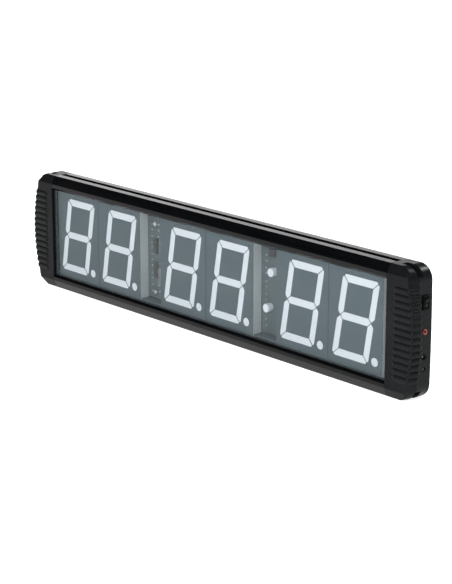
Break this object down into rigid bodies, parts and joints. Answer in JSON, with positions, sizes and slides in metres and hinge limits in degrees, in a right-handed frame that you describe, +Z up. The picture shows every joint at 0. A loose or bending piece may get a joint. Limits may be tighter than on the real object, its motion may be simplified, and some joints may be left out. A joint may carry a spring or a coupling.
{
  "type": "gym round timer",
  "caption": "Wide wall timer with large slanted LED digits behind a tinted window, in a bevelled case with ribbed end caps, a rocker switch and sockets in one end.",
  "frame": {"origin": "bottom centre of the whole timer's box, on the surface it stands on", "axes": "+X along the timer to the end with the switch and sockets, the window faces -Y, +Z up"},
  "size_m": [0.7324, 0.0364, 0.158],
  "materials": {
    "anodised_rail": "black anodised, satin to glossy",
    "cap_plastic": "moulded black plastic with a fine grain",
    "back_steel": "black powder coat",
    "smoked_acrylic": "clear polished, lightly smoked",
    "foam": "matt closed-cell foam",
    "module_grey": "moulded grey plastic",
    "segment_white": "milky cast resin",
    "lamp_white": "milky diffused lens",
    "circuit_board": "solder mask over copper tracks",
    "chip_black": "matt moulded resin",
    "plated": "bright zinc or nickel plate",
    "screw_black": "black zinc",
    "switch_black": "glossy moulded black",
    "orange_plastic": "orange moulded ring",
    "lead_red": "PVC sleeve",
    "lead_black": "PVC sleeve"
  },
  "bodies": {
    "case": {"audio_jack": "switch_black", "audio_jack_ring": "orange_plastic", "back_panel": "back_steel", "board_screw_1": "plated", "board_screw_2": "plated", "board_standoff_1": "plated", "board_standoff_2": "plated", "board_standoff_3": "plated", "board_standoff_4": "plated", "bottom_rail": "anodised_rail", "buzzer": "switch_black", "cap_screw_1": "screw_black", "cap_screw_2": "screw_black", "cap_screw_3": "screw_black", "cap_screw_4": "screw_black", "cell_holder": "switch_black", "coin_cell": "plated", "colon_lamp_lower": "lamp_white", "colon_lamp_upper": "lamp_white", "control_board": "circuit_board", "digit_1_housing": "module_grey", "digit_1_segments": "segment_white", "digit_2_housing": "module_grey", "digit_2_segments": "segment_white", "digit_3_housing": "module_grey", "digit_3_segments": "segment_white", "digit_4_housing": "module_grey", "digit_4_segments": "segment_white", "digit_5_housing": "module_grey", "digit_5_segments": "segment_white", "digit_6_housing": "module_grey", "digit_6_segments": "segment_white", "display_board": "circuit_board", "driver_chip_1": "chip_black", "driver_chip_2": "chip_black", "driver_chip_3": "chip_black", "end_cap_left": "cap_plastic", "end_cap_right": "cap_plastic", "filter_capacitor": "plated", "ir_receiver": "switch_black", "pane_gasket": "foam", "panel_screw_1": "screw_black", "panel_screw_2": "screw_black", "panel_screw_3": "screw_black", "panel_screw_4": "screw_black", "power_inductor": "chip_black", "power_inlet": "switch_black", "power_lead_black": "lead_black", "power_lead_red": "lead_red", "power_switch_housing": "switch_black", "processor_chip": "chip_black", "rail_joiner_1": "plated", "rail_joiner_2": "plated", "rail_joiner_3": "plated", "rail_joiner_4": "plated", "setup_switch": "switch_black", "top_rail": "anodised_rail", "window_pane": "smoked_acrylic"},
    "switch_rocker": {"power_switch_rocker": "switch_black"},
    "push_button": {"setup_button": "switch_black"}
  },
  "joints": [
    {"name": "power_rocker", "type": "hinge", "parent": "case", "child": "switch_rocker", "pos_m": [0.359, 0.0068, 0.1163], "axis": [0, 1, 0], "range_deg": [-18, 0]},
    {"name": "button_press", "type": "slide", "parent": "case", "child": "push_button", "axis": [-1, 0, 0], "range_m": [0, 0.0008], "stiffness_N_per_m": 400, "springref_m": -0.001}
  ]
}
